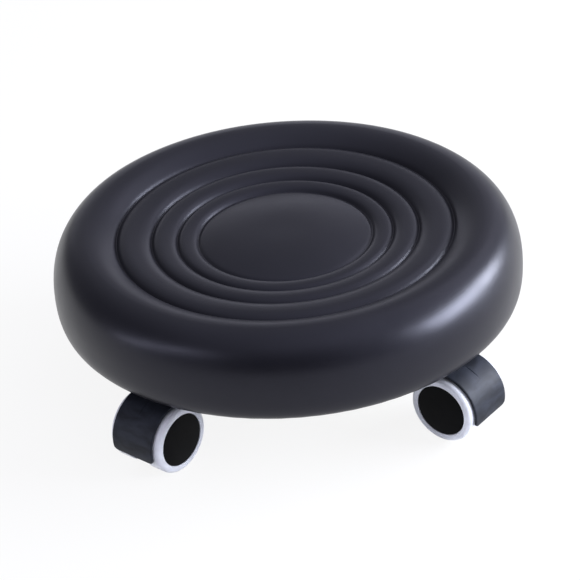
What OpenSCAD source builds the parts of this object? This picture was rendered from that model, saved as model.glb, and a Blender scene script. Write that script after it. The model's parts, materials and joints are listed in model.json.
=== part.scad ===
// Low round rolling stool.
// A dished, ring-embossed cushion on a plywood board rolls on four hooded twin-wheel casters.
// The origin is on the floor under the middle of the seat, +Z is up and the front faces -Y.

/* [Cushion] */
// Outside diameter of the cushion at its widest line
seat_d = 340; // [326:1:370]
// Height of the cushion from its flat underside to the crest of its rim
seat_h = 61.4; // [56:0.2:72]
// Distance from the widest line in to the crest of the rim
rim_crest_in = 27; // [24:0.5:32]
// Height of the widest line above the underside
rim_waist_h = 22; // [18:0.5:28]
// Distance from the widest line in to the edge of the flat underside
rim_foot_in = 10; // [7:0.5:12]
// Squareness of the rim's outer quarter, where 2 is an ellipse and more is fuller
rim_fullness = 2.2; // [2:0.1:3]
// Squareness of the foot's quarter below it
foot_fullness = 2.6; // [2:0.1:3]
// Fall from the crest of the rim to the outer groove
rim_step = 9.8; // [6:0.2:13]
// Diameter of the middle disc at its groove
disc_d = 126; // [110:1:134]
// Width of the inner pillow band
inner_band_w = 15; // [10:0.5:20]
// Width of the middle pillow band
middle_band_w = 18.5; // [12:0.5:23]
// Width of the outer pillow band
outer_band_w = 25.3; // [16:0.5:30]
// Fall of the dish from the outer groove to the groove of the middle disc
dish_fall = 4.4; // [0:0.2:8]
// Swell of the outer pillow band above its grooves; the narrower bands swell in proportion to their width
band_swell = 4.3; // [2.5:0.1:5.5]
// Swell of the middle disc from its groove to its level middle
disc_swell = 5; // [2:0.1:6]
// Diameter of the level middle of the disc
disc_flat_d = 24; // [16:1:40]

/* [Board and covers] */
// Thickness of the seat board
board_t = 12; // [10:0.5:16]
// Distance from the cushion's widest line in to the edge of the board
board_in = 13; // [13:0.5:16]
// Thickness of the seat cover
cover_t = 1.2; // [0.8:0.1:1.6]
// Gap that the glue line fills between cover, foam and board
glue_gap = 0.3; // [0.2:0.05:0.4]
// Number of foam lengths in the roll along the rim
edge_roll_n = 8; // [6:1:12]
// Width of the hem folded flat under the board
hem_w = 58; // [54:1:70]
// Thickness of the dust cover
dust_cover_t = 0.6; // [0.4:0.1:1]
// Distance from the edge of the flat underside in to the edge of the dust cover
dust_cover_in = 6; // [4:0.5:7]

/* [Staples] */
// Width of a staple over its legs
staple_w = 10; // [8:0.5:12]
// Length of a staple's legs
staple_leg = 8; // [6:0.5:9]
// Width of the staple wire
staple_wire_w = 1.2; // [0.9:0.1:1.6]
// Thickness of the staple wire
staple_wire_t = 0.6; // [0.5:0.1:0.9]
// Number of staples through the hem
hem_staple_n = 24; // [12:1:36]
// Distance from the inner edge of the hem out to its staples
hem_staple_in = 5; // [3:0.5:7]
// Number of staples through the dust cover between two casters
dust_staple_n = 5; // [3:1:6]
// Distance from the edge of the dust cover in to its staples
dust_staple_in = 6; // [4:0.5:8]

/* [Caster layout] */
// Distance from the cushion's widest line in to the circle of the swivel pins
caster_inset = 40.5; // [38:0.5:46]
// Angle of the front right swivel pin, counted from +X
caster_angle = -41.6; // [-50:0.1:-35]
// Heading of the front right caster, from its swivel pin to its axle
heading_front_right = -39.7; // [-180:0.1:180]
// Heading of the rear right caster
heading_rear_right = 52; // [-180:0.1:180]
// Heading of the rear left caster
heading_rear_left = 141; // [-180:0.1:180]
// Heading of the front left caster
heading_front_left = -131.5; // [-180:0.1:180]
// Distance from the swivel pin to the axle
trail = 20.5; // [20:0.5:26]
// Gap between the top of a hood and the heads of the screws above it
hood_top_gap = 3; // [1:0.2:6]

/* [Wheels] */
// Diameter of a wheel over its tread
wheel_d = 50; // [48:0.5:51]
// Width of a wheel
wheel_w = 14.5; // [13.5:0.5:17]
// Gap between the two wheels of a caster
wheel_gap = 16; // [15.5:0.5:18]
// Thickness of the tread between the hub and the floor
tread_t = 5.5; // [4.5:0.25:6.5]
// Rounding of the tread's outer shoulder
tread_outer_round = 3.2; // [2:0.2:4]
// Rounding of the tread's inner shoulder
tread_inner_round = 2; // [1:0.2:3]
// Thickness of the hub's rim
hub_rim_t = 2.5; // [2:0.1:3]
// Thickness of the hub's web
hub_web_t = 2.5; // [2:0.1:3.5]
// Distance from the wheel's inner face to the middle of the hub's web
hub_web_in = 5.2; // [4.5:0.1:6]
// Diameter of the hub's boss
hub_boss_d = 13; // [11:0.5:14]
// Gap between the outer end of the hub's boss and the cap
hub_boss_gap = 3.3; // [3:0.1:4.5]
// Thickness of a hub rib
hub_rib_t = 1.6; // [1:0.1:2.4]
// Number of ribs on the inner side of a hub
hub_rib_n = 6; // [4:1:8]
// Distance of the hub's rim behind the tread's inner face
hub_set_back = 0.6; // [0.3:0.1:1]

/* [Wheel caps] */
// Thickness of a cap at its edge
cap_t = 1.8; // [1.4:0.1:2.4]
// Depth of the cap's edge behind the tread's outer face
cap_recess = 0.4; // [0.2:0.1:1]
// Doming of the cap's outer face
cap_crown = 0.8; // [0.2:0.1:1.2]
// Rounding of the cap's edge
cap_round = 0.5; // [0.3:0.1:0.8]
// Length of the skirt that plugs into the hub
cap_skirt_l = 3.8; // [2.5:0.1:4.2]
// Thickness of that skirt
cap_skirt_t = 1.7; // [1.2:0.1:2.2]
// Gap around the cap inside the tread, and around its skirt inside the hub
cap_gap = 0.15; // [0.1:0.05:0.3]

/* [Axle] */
// Diameter of the axle
axle_d = 6; // [5:0.25:7]
// Chamfer at the ends of the axle
axle_chamfer = 0.5; // [0.2:0.1:1]
// Distance that the axle stands out of a hub's boss
axle_stub = 2.4; // [2:0.1:2.6]
// Diameter of a push nut
push_nut_d = 10.4; // [9.5:0.1:12]
// Thickness of a push nut
push_nut_t = 1; // [0.7:0.1:1.2]

/* [Hood] */
// Thickness of the hood's wall
hood_wall = 1.8; // [1.4:0.1:2.4]
// Gap between the tread and the hood's wall
hood_gap = 0.8; // [0.6:0.1:1.2]
// Distance of the hood's side edge behind the wheel's outer face
hood_set_back = 4.3; // [3:0.1:6]
// Depth of the hood's lower edge below the axle
hood_drop = 7.8; // [4:0.1:12]
// Angle at which the hood ends on the swivel side, counted up from the wheel side
hood_wrap = 146; // [135:1:155]
// Rounding of the hood's lower corners
hood_corner = 4; // [2:0.5:6]
// Thickness of the web between the wheels
hood_web_t = 6; // [4:0.5:8]
// Diameter of the hood's boss around the axle
hood_boss_d = 13; // [11:0.5:15]

/* [Swivel] */
// Diameter of the swivel pin
pin_d = 8; // [7:0.25:9]
// Length of the swivel pin below the plate
pin_l = 27; // [24:0.5:28]
// Chamfer at the lower end of the swivel pin
pin_chamfer = 0.7; // [0.3:0.1:1.2]
// Thickness of the socket wall around the pin
socket_wall = 3.2; // [2.8:0.1:3.4]
// Thickness of material under the blind end of the socket's bore
socket_floor = 2; // [1.5:0.1:3]
// Diameter of the collar at the top of the socket
collar_d = 20; // [18:0.5:22]
// Height of the collar
collar_h = 6; // [4:0.25:6.4]
// Height of the cone that widens the socket to its collar
collar_cone_h = 4; // [2:0.5:6]
// Running gap between a turning part and its neighbour's face
run_gap = 0.3; // [0.25:0.05:0.4]
// Radial clearance of a running fit
fit_gap = 0.05; // [0.02:0.01:0.1]
// Thickness of the thrust washer
washer_t = 1.2; // [0.8:0.1:1.5]
// Diameter of the thrust washer
washer_d = 17; // [14:0.5:18]
// Thickness of the retaining ring
ring_t = 1.1; // [0.8:0.1:1.4]
// Depth of the retaining ring's groove in the pin
ring_groove = 0.8; // [0.5:0.1:1.1]
// Distance that the retaining ring stands out of the pin
ring_stand = 1.1; // [0.7:0.1:1.2]
// Distance of the retaining ring above the end of the pin
ring_up = 4; // [3:0.25:6]
// Width of the opening in the retaining ring
ring_mouth = 4; // [2:0.5:5]

/* [Plate and screws] */
// Side of the square top plate
plate_w = 38; // [36:0.5:40]
// Thickness of the top plate
plate_t = 2.2; // [1.8:0.1:2.6]
// Rounding of the plate's corners
plate_corner = 4; // [2:0.5:5]
// Distance between the plate's screw holes
screw_pitch = 28.5; // [27:0.25:30]
// Diameter of the plate's screw holes
plate_hole_d = 4.6; // [4.2:0.1:5]
// Diameter of the screw's shank
screw_d = 4; // [3.5:0.1:4]
// Length of the screw under its head
screw_l = 13; // [11:0.5:13.5]
// Diameter of the screw's head
screw_head_d = 8; // [7:0.1:8.4]
// Height of the screw's head
screw_head_h = 2.2; // [1.6:0.1:2.4]
// Height of the straight edge of the screw's head
screw_head_edge = 0.7; // [0.4:0.1:1]
// Length of the screw's point
screw_tip = 3; // [2:0.25:4]
// Width of the cross recess
recess_w = 1; // [0.6:0.1:1.4]
// Span of the cross recess
recess_span = 4.4; // [3:0.1:5]
// Depth of the cross recess
recess_depth = 1.1; // [0.8:0.1:1.3]

/* [Hidden] */
$fn = 96;
CORNERS = ["front_right", "rear_right", "rear_left", "front_left"];
HEADINGS = [heading_front_right, heading_rear_right, heading_rear_left, heading_front_left];
WHEELS = [1, 2];
CASTER_PIECES = ["top_plate", "swivel_pin", "thrust_washer", "retaining_ring", "hood", "axle", "push_nuts"];
WHEEL_PIECES = ["hub", "tread", "cap"];
function caster_node(i, piece) = str(CORNERS[i], "_", piece);
function wheel_node(i, k, piece) = str(CORNERS[i], "_wheel_", WHEELS[k], "_", piece);

// Colours as seen: charcoal cover and plastics, pale tread, bright steel, brown board
leather_colour = [0.10, 0.10, 0.12];
plastic_colour = [0.13, 0.13, 0.15];
cap_colour = [0.06, 0.06, 0.07];
tread_colour = [0.80, 0.80, 0.85];
steel_colour = [0.72, 0.73, 0.75];
board_colour = [0.72, 0.56, 0.38];
foam_colour = [0.90, 0.86, 0.70];
cloth_colour = [0.16, 0.16, 0.17];
nylon_colour = [0.88, 0.88, 0.84];

// Heights that the casters set
wheel_r = wheel_d / 2;
bay_r = wheel_r + hood_gap;
hood_r = bay_r + hood_wall;
plate_z = wheel_r + hood_r + hood_top_gap + screw_head_h;
caster_h = plate_z + plate_t;

// Cushion section, in radius and height
seat_r = seat_d / 2;
base_z = caster_h + dust_cover_t;
crest_z = base_z + seat_h;
crest_r = seat_r - rim_crest_in;
waist_z = base_z + rim_waist_h;
foot_r = seat_r - rim_foot_in;
GROOVES = [
    disc_d / 2,
    disc_d / 2 + inner_band_w,
    disc_d / 2 + inner_band_w + middle_band_w,
    disc_d / 2 + inner_band_w + middle_band_w + outer_band_w
];
outer_groove_z = crest_z - rim_step;
dish_bend = dish_fall / (pow(GROOVES[3], 2) - pow(GROOVES[0], 2));
function dish_z(r) = outer_groove_z - dish_bend * (pow(GROOVES[3], 2) - pow(r, 2));
flat_r = disc_flat_d / 2;
flat_z = dish_z(GROOVES[0]) + disc_swell;

// Number of chords on the rim's outer quarters, its inner slope, a band and the disc
rim_steps = 9;
slope_steps = 6;
band_steps = 8;
disc_steps = 7;
// Exponents that shape the pillows: the rim's slope rounds off evenly up to its crest, the bands stay
// full up to their grooves, and the disc falls away more and more towards its groove
slope_fullness = 2;
band_fullness = 2.6;
disc_fullness = 2.6;

// Points of the section from the foot out over the rim to the middle, drawn in by a distance d
function foot_quarter(d) = [for (i = [0:rim_steps])
    let (a = 90 * (1 - i / rim_steps))
    [foot_r - d + (seat_r - foot_r) * pow(cos(a), 2 / foot_fullness),
     waist_z - (waist_z - base_z - d) * pow(sin(a), 2 / foot_fullness)]];
function crest_quarter(d) = [for (i = [1:rim_steps])
    let (a = 90 * i / rim_steps)
    [crest_r + (seat_r - d - crest_r) * pow(cos(a), 2 / rim_fullness),
     waist_z + (crest_z - d - waist_z) * pow(sin(a), 2 / rim_fullness)]];
function inner_slope(d) = [for (i = [1:slope_steps])
    let (u = 1 - i / slope_steps)
    [GROOVES[3] + (crest_r - GROOVES[3]) * u, crest_z - d - rim_step * pow(1 - u, slope_fullness)]];
function band_lift(inner, outer) = band_swell * (outer - inner) / outer_band_w;
function band(inner, outer, d) = [for (i = [1:band_steps])
    let (u = i / band_steps, r = outer - (outer - inner) * u)
    [r, dish_z(r) - d + band_lift(inner, outer) * (1 - pow(abs(1 - 2 * u), band_fullness))]];
function disc(d) = [for (i = [1:disc_steps])
    let (u = 1 - i / disc_steps)
    [flat_r + (GROOVES[0] - flat_r) * u, flat_z - d - disc_swell * pow(u, disc_fullness)]];
function top_line(d) = concat(
    foot_quarter(d), crest_quarter(d), inner_slope(d),
    band(GROOVES[2], GROOVES[3], d), band(GROOVES[1], GROOVES[2], d), band(GROOVES[0], GROOVES[1], d),
    disc(d), [[0, flat_z - d]]
);
function reversed(points) = [for (i = [len(points) - 1:-1:0]) points[i]];

// Board and covers
board_r = seat_r - board_in;
board_z = base_z + cover_t;
board_top = board_z + board_t;
hem_r = foot_r - hem_w;
dust_cover_r = foot_r - dust_cover_in;

// Wheel section, in radius and distance from the middle of the caster
wheel_in = wheel_gap / 2;
wheel_out = wheel_in + wheel_w;
rim_r = wheel_r - tread_t;
rim_bore_r = rim_r - hub_rim_t;
cap_back = wheel_out - cap_recess - cap_t;
cap_r = rim_r - cap_gap;
skirt_r = rim_bore_r - cap_gap;
boss_end = cap_back - hub_boss_gap;
axle_r = axle_d / 2;
hub_bore_r = axle_r + fit_gap;
web_mid = wheel_in + hub_web_in;
axle_end = boss_end + axle_stub;

// Hood and swivel
caster_circle_r = seat_r - caster_inset;
hood_half = wheel_out - hood_set_back;
collar_top = plate_z - washer_t - run_gap;
collar_z = collar_top - collar_h;
pin_r = pin_d / 2;
pin_low = plate_z - pin_l;
pin_bore_r = pin_r + fit_gap;
bore_low = pin_low - run_gap;
socket_low = bore_low - socket_floor;
socket_r = pin_r + socket_wall;
ring_z = pin_low + ring_up;
ring_r = pin_r + ring_stand;
ring_root_r = pin_r - ring_groove;
// A length that reaches past everything in a caster
far = 4 * wheel_d;
// Overlap that lets a cut pass a face
past = 1;

function pin_angle(i) = caster_angle + 90 * i;
function arc(centre, r, from, to, n) = [for (i = [0:n])
    let (a = from + (to - from) * i / n)
    centre + r * [cos(a), sin(a)]];

// Puts a piece at the swivel pin of caster i, square to the circle of pins
module at_pin(i) {
    rotate([0, 0, pin_angle(i)])
        translate([caster_circle_r, 0, 0])
            children();
}

// Puts a piece at the swivel pin of caster i, with +X along the caster's heading
module at_heading(i) {
    at_pin(i)
        rotate([0, 0, HEADINGS[i] - pin_angle(i)])
            children();
}

// Puts a piece on the axle of caster i, with +Z along the axle towards wheel k
module at_axle(i, k = 0) {
    at_heading(i)
        translate([trail, 0, wheel_r])
            rotate([k == 0 ? -90 : 90, 0, 0])
                children();
}

// Puts a piece at each screw hole of caster i
module at_screws(i) {
    at_pin(i)
        for (x = [-1, 1], y = [-1, 1])
            translate([x * screw_pitch / 2, y * screw_pitch / 2, 0])
                children();
}

module screw_holes(r) {
    for (i = [0:3])
        at_screws(i)
            translate([0, 0, caster_h - past])
                cylinder(r = r, h = screw_l + 2 * past);
}

// Moulded cover: dished top, full rim and a hem folded flat under the board
module seat_cover() {
    inner_line = top_line(cover_t);
    color(leather_colour)
    difference() {
        rotate_extrude()
            polygon(concat(
                [[hem_r, base_z]], top_line(0), reversed(inner_line), [[hem_r, base_z + cover_t]]
            ));
        screw_holes(screw_d / 2);
    }
}

// Section of the foam between two radii, inside the cover and clear of the board
module foam_section(inner, outer) {
    inset = cover_t + glue_gap;
    edge = board_r + glue_gap;
    intersection() {
        polygon(concat([[0, base_z + inset]], top_line(inset)));
        polygon([[0, board_top], [edge, board_top], [edge, 0], [far, 0], [far, far], [0, far]]);
        translate([inner, 0])
            square([outer - inner, far]);
    }
}

// Foam pad under the disc and the bands
module seat_foam() {
    color(foam_colour)
    rotate_extrude()
        foam_section(0, GROOVES[3] - glue_gap / 2);
}

// Foam roll that fills the rim and wraps round the board's edge, in lengths butted end to end
module edge_roll() {
    color(foam_colour)
    difference() {
        rotate_extrude()
            foam_section(GROOVES[3] + glue_gap / 2, far);
        for (i = [0:edge_roll_n - 1])
            rotate([0, 0, pin_angle(0) + 360 * i / edge_roll_n])
                translate([0, -glue_gap / 2, 0])
                    cube([far, glue_gap, far]);
    }
}

module seat_board() {
    color(board_colour)
    difference() {
        translate([0, 0, board_z])
            cylinder(r = board_r, h = board_t);
        screw_holes(screw_d / 2);
    }
}

module dust_cover() {
    color(cloth_colour)
    difference() {
        translate([0, 0, caster_h])
            cylinder(r = dust_cover_r, h = dust_cover_t);
        screw_holes(screw_d / 2);
    }
}

// One staple with its crown's outer face at z = 0 and its legs up
module staple() {
    translate([-staple_wire_w / 2, -staple_w / 2, 0])
        cube([staple_wire_w, staple_w, staple_wire_t]);
    for (y = [-staple_w / 2, staple_w / 2 - staple_wire_t])
        translate([-staple_wire_w / 2, y, 0])
            cube([staple_wire_w, staple_wire_t, staple_leg]);
}

// Staples pressed flush into the hem, and staples on the dust cover between the casters
module staples() {
    color(steel_colour) {
        for (i = [0:hem_staple_n - 1])
            rotate([0, 0, pin_angle(0) + 360 * (i + 0.5) / hem_staple_n])
                translate([hem_r + hem_staple_in, 0, base_z])
                    staple();
        for (i = [0:3], j = [1:dust_staple_n])
            rotate([0, 0, pin_angle(i) + 90 * j / (dust_staple_n + 1)])
                translate([dust_cover_r - dust_staple_in, 0, caster_h - staple_wire_t])
                    staple();
    }
}

module cross_recess() {
    for (a = [0, 90])
        rotate([0, 0, a])
            translate([-recess_span / 2, -recess_w / 2, -past])
                cube([recess_span, recess_w, recess_depth + past]);
}

// One pan-head screw, head down, with the underside of its head at z = 0
module screw() {
    difference() {
        rotate_extrude()
            polygon(concat(
                [[0, screw_l], [screw_d / 2, screw_l - screw_tip], [screw_d / 2, 0], [screw_head_d / 2, 0]],
                [for (a = [0:15:90])
                    [screw_head_d / 2 * cos(a), -screw_head_edge - (screw_head_h - screw_head_edge) * sin(a)]]
            ));
        translate([0, 0, -screw_head_h])
            cross_recess();
    }
}

module caster_screws() {
    color(steel_colour)
    for (i = [0:3])
        at_screws(i)
            translate([0, 0, plate_z])
                screw();
}

// Square outline with round corners
module rounded_square(w, r) {
    square([w, w - 2 * r], center = true);
    square([w - 2 * r, w], center = true);
    for (x = [-1, 1], y = [-1, 1])
        translate([x, y] * (w / 2 - r))
            circle(r);
}

module top_plate(i) {
    color(steel_colour)
    at_pin(i)
        translate([0, 0, plate_z])
            linear_extrude(plate_t)
                difference() {
                    rounded_square(plate_w, plate_corner);
                    circle(pin_r);
                    for (x = [-1, 1], y = [-1, 1])
                        translate([x, y] * screw_pitch / 2)
                            circle(plate_hole_d / 2);
                }
}

// Swivel pin, riveted flush into the plate, with a groove for its retaining ring
module swivel_pin(i) {
    color(steel_colour)
    at_pin(i)
        rotate_extrude()
            polygon([
                [0, pin_low], [pin_r - pin_chamfer, pin_low], [pin_r, pin_low + pin_chamfer],
                [pin_r, ring_z], [ring_root_r, ring_z],
                [ring_root_r, ring_z + ring_t], [pin_r, ring_z + ring_t],
                [pin_r, caster_h], [0, caster_h]
            ]);
}

module thrust_washer(i) {
    color(nylon_colour)
    at_pin(i)
        translate([0, 0, plate_z - washer_t])
            difference() {
                cylinder(d = washer_d, h = washer_t);
                translate([0, 0, -past])
                    cylinder(r = pin_r + fit_gap, h = washer_t + 2 * past);
            }
}

// Open ring that snaps into the pin's groove and holds the hood up
module retaining_ring(i) {
    color(steel_colour)
    at_heading(i)
        translate([0, 0, ring_z])
            difference() {
                cylinder(r = ring_r, h = ring_t);
                translate([0, 0, -past])
                    cylinder(r = ring_root_r, h = ring_t + 2 * past);
                translate([-far, -ring_mouth / 2, -past])
                    cube([far, ring_mouth, ring_t + 2 * past]);
            }
}

// Hood sections are drawn in the plane of the wheel, from the axle, with +X along the heading
module hood_drum_section() {
    low = -hood_drop - past;
    intersection() {
        difference() {
            circle(hood_r);
            circle(bay_r);
        }
        polygon([
            [0, low], [far, low], [far, far], [0, far], far * [cos(hood_wrap), sin(hood_wrap)], [0, 0]
        ]);
    }
}

module hood_web_section() {
    socket_v = socket_low - wheel_r;
    intersection() {
        circle((bay_r + hood_r) / 2);
        polygon([
            [far, -hood_drop], [far, far], [-far, far], [-far, socket_v],
            [socket_r - trail, socket_v], [-hood_boss_d / 2, -hood_drop]
        ]);
    }
}

// Outline of the hood seen from behind, which cuts the drum to its width and rounds its lower corners
module hood_skirt_outline() {
    low = wheel_r - hood_drop;
    translate([-hood_half, low + hood_corner])
        square([2 * hood_half, far]);
    translate([hood_corner - hood_half, low])
        square([2 * (hood_half - hood_corner), 2 * hood_corner]);
    for (y = [-1, 1])
        translate([y * (hood_half - hood_corner), low + hood_corner])
            circle(hood_corner);
}

// Turns a section drawn in the plane of the wheel upright and gives it a width
module in_wheel_plane(width) {
    translate([trail, 0, wheel_r])
        rotate([90, 0, 0])
            translate([0, 0, -width / 2])
                linear_extrude(width)
                    children();
}

// One moulding: drum over both wheels, web between them, axle boss and swivel socket
module hood(i) {
    boss_l = wheel_gap - 2 * run_gap;
    color(plastic_colour)
    at_heading(i)
        difference() {
            union() {
                intersection() {
                    in_wheel_plane(far)
                        hood_drum_section();
                    translate([-far, 0, 0])
                        rotate([90, 0, 90])
                            linear_extrude(2 * far)
                                hood_skirt_outline();
                }
                in_wheel_plane(hood_web_t)
                    hood_web_section();
                in_wheel_plane(boss_l)
                    circle(hood_boss_d / 2);
                translate([0, 0, socket_low])
                    cylinder(r = socket_r, h = collar_top - socket_low);
                translate([0, 0, collar_z - collar_cone_h])
                    cylinder(r1 = socket_r, r2 = collar_d / 2, h = collar_cone_h);
                translate([0, 0, collar_z])
                    cylinder(d = collar_d, h = collar_h);
            }
            in_wheel_plane(far)
                circle(axle_r);
            translate([0, 0, bore_low])
                cylinder(r = pin_bore_r, h = far);
            translate([0, 0, ring_z - run_gap])
                cylinder(r = ring_r + run_gap, h = ring_t + 2 * run_gap);
        }
}

// Fixed axle, chamfered at both ends
module axle(i) {
    color(steel_colour)
    at_axle(i)
        rotate_extrude()
            polygon([
                [0, -axle_end], [axle_r - axle_chamfer, -axle_end], [axle_r, axle_chamfer - axle_end],
                [axle_r, axle_end - axle_chamfer], [axle_r - axle_chamfer, axle_end], [0, axle_end]
            ]);
}

// A push nut on each end of the axle keeps its wheel on
module push_nuts(i) {
    color(steel_colour)
    for (k = [0, 1])
        at_axle(i, k)
            translate([0, 0, boss_end + run_gap])
                difference() {
                    cylinder(d = push_nut_d, h = push_nut_t);
                    translate([0, 0, -past])
                        cylinder(r = axle_r, h = push_nut_t + 2 * past);
                }
}

module hub(i, k) {
    rim_in = wheel_in + hub_set_back;
    web_in = web_mid - hub_web_t / 2;
    web_out = web_mid + hub_web_t / 2;
    boss_r = hub_boss_d / 2;
    color(plastic_colour)
    at_axle(i, k) {
        rotate_extrude()
            polygon([
                [hub_bore_r, wheel_in], [boss_r, wheel_in], [boss_r, web_in], [rim_bore_r, web_in],
                [rim_bore_r, rim_in], [rim_r, rim_in], [rim_r, cap_back], [rim_bore_r, cap_back],
                [rim_bore_r, web_out], [boss_r, web_out], [boss_r, boss_end], [hub_bore_r, boss_end]
            ]);
        for (j = [0:hub_rib_n - 1])
            rotate([0, 0, 360 * j / hub_rib_n])
                translate([boss_r - hub_rib_t / 2, -hub_rib_t / 2, rim_in])
                    cube([rim_bore_r - boss_r + hub_rib_t, hub_rib_t, web_mid - rim_in]);
    }
}

module tread(i, k) {
    color(tread_colour)
    at_axle(i, k)
        rotate_extrude()
            polygon(concat(
                [[rim_r, wheel_in]],
                arc([wheel_r, wheel_in] + [-1, 1] * tread_inner_round, tread_inner_round, -90, 0, 4),
                arc([wheel_r, wheel_out] - [1, 1] * tread_outer_round, tread_outer_round, 0, 90, 6),
                [[rim_r, wheel_out]]
            ));
}

// Domed cap that plugs into the hub and hides the axle's end
module cap(i, k) {
    edge = cap_back + cap_t;
    face_r = cap_r - cap_round;
    color(cap_colour)
    at_axle(i, k)
        rotate_extrude()
            polygon(concat(
                [[0, cap_back], [skirt_r - cap_skirt_t, cap_back]],
                [[skirt_r - cap_skirt_t, cap_back - cap_skirt_l], [skirt_r, cap_back - cap_skirt_l]],
                [[skirt_r, cap_back], [cap_r, cap_back]],
                arc([face_r, edge - cap_round], cap_round, 0, 90, 3),
                [for (j = [1:5])
                    let (u = 1 - j / 5)
                    [face_r * u, edge + cap_crown * (1 - u * u)]]
            ));
}

seat_cover();
seat_foam();
edge_roll();
seat_board();
dust_cover();
staples();
caster_screws();
for (i = [0:3]) {
    top_plate(i);
    swivel_pin(i);
    thrust_washer(i);
    retaining_ring(i);
    hood(i);
    axle(i);
    push_nuts(i);
    for (k = [0, 1]) {
        hub(i, k);
        tread(i, k);
        cap(i, k);
    }
}
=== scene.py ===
"""Low round rolling stool: a dished leather cushion on four hooded twin-wheel casters.

Metres, +Z up, front towards -Y. Sizes below are in millimetres and are scaled when a mesh is made.
"""
import json
import math

import bpy
import numpy as np
from mathutils import Matrix, Quaternion, Vector


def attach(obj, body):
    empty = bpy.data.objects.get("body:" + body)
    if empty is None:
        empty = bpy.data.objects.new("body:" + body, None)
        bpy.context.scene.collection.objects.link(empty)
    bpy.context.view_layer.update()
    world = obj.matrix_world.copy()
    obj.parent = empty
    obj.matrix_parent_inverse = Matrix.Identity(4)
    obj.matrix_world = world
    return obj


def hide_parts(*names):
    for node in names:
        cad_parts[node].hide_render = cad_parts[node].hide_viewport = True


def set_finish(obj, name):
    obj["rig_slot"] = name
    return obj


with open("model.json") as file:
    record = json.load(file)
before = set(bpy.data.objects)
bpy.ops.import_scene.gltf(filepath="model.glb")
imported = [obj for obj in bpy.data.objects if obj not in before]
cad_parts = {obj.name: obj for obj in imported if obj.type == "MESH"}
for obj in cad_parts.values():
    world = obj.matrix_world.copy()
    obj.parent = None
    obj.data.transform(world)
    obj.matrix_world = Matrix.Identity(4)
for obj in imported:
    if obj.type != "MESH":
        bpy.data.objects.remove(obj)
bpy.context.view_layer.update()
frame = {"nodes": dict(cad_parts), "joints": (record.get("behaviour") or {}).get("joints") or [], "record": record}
MM = 0.001
CORNERS = ["front_right", "rear_right", "rear_left", "front_left"]
JOINTS = {j["name"]: j for j in frame["joints"]}


# Camera
def make_camera():
    """The photograph's viewpoint: from the front, 30.8 degrees up, rolled a little."""
    elevation, roll, distance = math.radians(30.8), math.radians(4.5), 1.8005
    lens, sensor, picture_px, aim_height = 154.71, 36, 580, 0.1
    shift_x_px, shift_y_px = -0.2, -45.3
    focal_px = lens / sensor * picture_px
    back = Vector((0, -math.cos(elevation), math.sin(elevation)))
    up = Vector((0, math.sin(elevation), math.cos(elevation)))
    turn = Matrix((Vector((1, 0, 0)), up, back)).transposed().to_4x4()
    aim = (
        Matrix.Rotation(math.atan(shift_x_px / focal_px), 4, "Y")
        @ Matrix.Rotation(math.atan(shift_y_px / focal_px), 4, "X")
        @ Matrix.Rotation(-roll, 4, "Z")
    )
    data = bpy.data.cameras.new("camera")
    data.lens, data.sensor_width = lens, sensor
    data.clip_start, data.clip_end = 0.05, 60
    camera = bpy.data.objects.new("camera", data)
    camera.matrix_world = Matrix.Translation(Vector((0, 0, aim_height)) + back * distance) @ turn @ aim
    bpy.context.scene.collection.objects.link(camera)
    bpy.context.scene.camera = camera


# Mesh helpers
def make_object(name, verts, faces, sharp=None, scale=MM):
    """A smooth object from vertices and faces; edges over the angle sharp, in degrees, stay sharp."""
    mesh = bpy.data.meshes.new(name)
    mesh.from_pydata([tuple(float(c) * scale for c in v) for v in verts], [], faces)
    mesh.update()
    mesh.shade_smooth()
    if sharp is not None:
        mesh.set_sharp_from_angle(angle=math.radians(sharp))
    obj = bpy.data.objects.new(name, mesh)
    bpy.context.scene.collection.objects.link(obj)
    return obj


def rings(lines, start=0):
    """Quads between successive rings of equal count; a ring of one vertex is a pole."""
    faces, at = [], start
    for a, b in zip(lines, lines[1:]):
        na, nb = len(a), len(b)
        n = max(na, nb)
        for i in range(n):
            j = (i + 1) % n
            if na == 1:
                faces.append((at, at + 1 + i, at + 1 + j))
            elif nb == 1:
                faces.append((at + i, at + na, at + j))
            else:
                faces.append((at + i, at + na + i, at + na + j, at + j))
        at += na
    return faces


def lathe(points, segments, ring=False):
    """Vertices and faces of a section (r, h) turned about the h axis; ring=True closes the section."""
    angles = np.linspace(0, 2 * math.pi, segments, endpoint=False)
    lines = []
    for r, h in points:
        if r < 1e-6:
            lines.append(np.array([[0, 0, h]]))
        else:
            lines.append(np.stack([r * np.cos(angles), r * np.sin(angles), np.full(segments, h)], 1))
    faces = rings(lines)
    if ring:
        last = (len(lines) - 1) * segments
        faces += [(last + i, i, (i + 1) % segments, last + (i + 1) % segments) for i in range(segments)]
    return np.concatenate(lines), faces


def arc(r_mid, h_mid, radius, a0, a1, n):
    """Points of an arc from a0 to a1, in degrees."""
    return [
        (r_mid + radius * math.cos(math.radians(a0 + (a1 - a0) * i / n)),
         h_mid + radius * math.sin(math.radians(a0 + (a1 - a0) * i / n)))
        for i in range(n + 1)
    ]


def join(*parts):
    """One vertex and face list from several closed shells."""
    verts, faces, at = [], [], 0
    for v, f in parts:
        verts.append(np.asarray(v, float))
        faces += [tuple(i + at for i in face) for face in f]
        at += len(v)
    return np.concatenate(verts), faces


# Cushion
SEAT_R, BASE_Z, SEAT_H, CREST_R, FOOT_R, WAIST_Z = 170.0, 60.6, 61.4, 143.0, 160.0, 82.6
CREST_Z = BASE_Z + SEAT_H
GROOVES = [63.0, 78.0, 96.5, 121.8]
# How far the outer groove lies under the crest, and the inner one under the outer
STEP, DISH = 9.8, 4.4
# A band's rise as a share of its width, the disc's swell, and the radius of the disc's flat middle
BAND_RISE, DISC_SWELL, FLAT_R = 0.155, 6.8, 10.0
CREASE, CREASE_W = 0.8, 1.6
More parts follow.
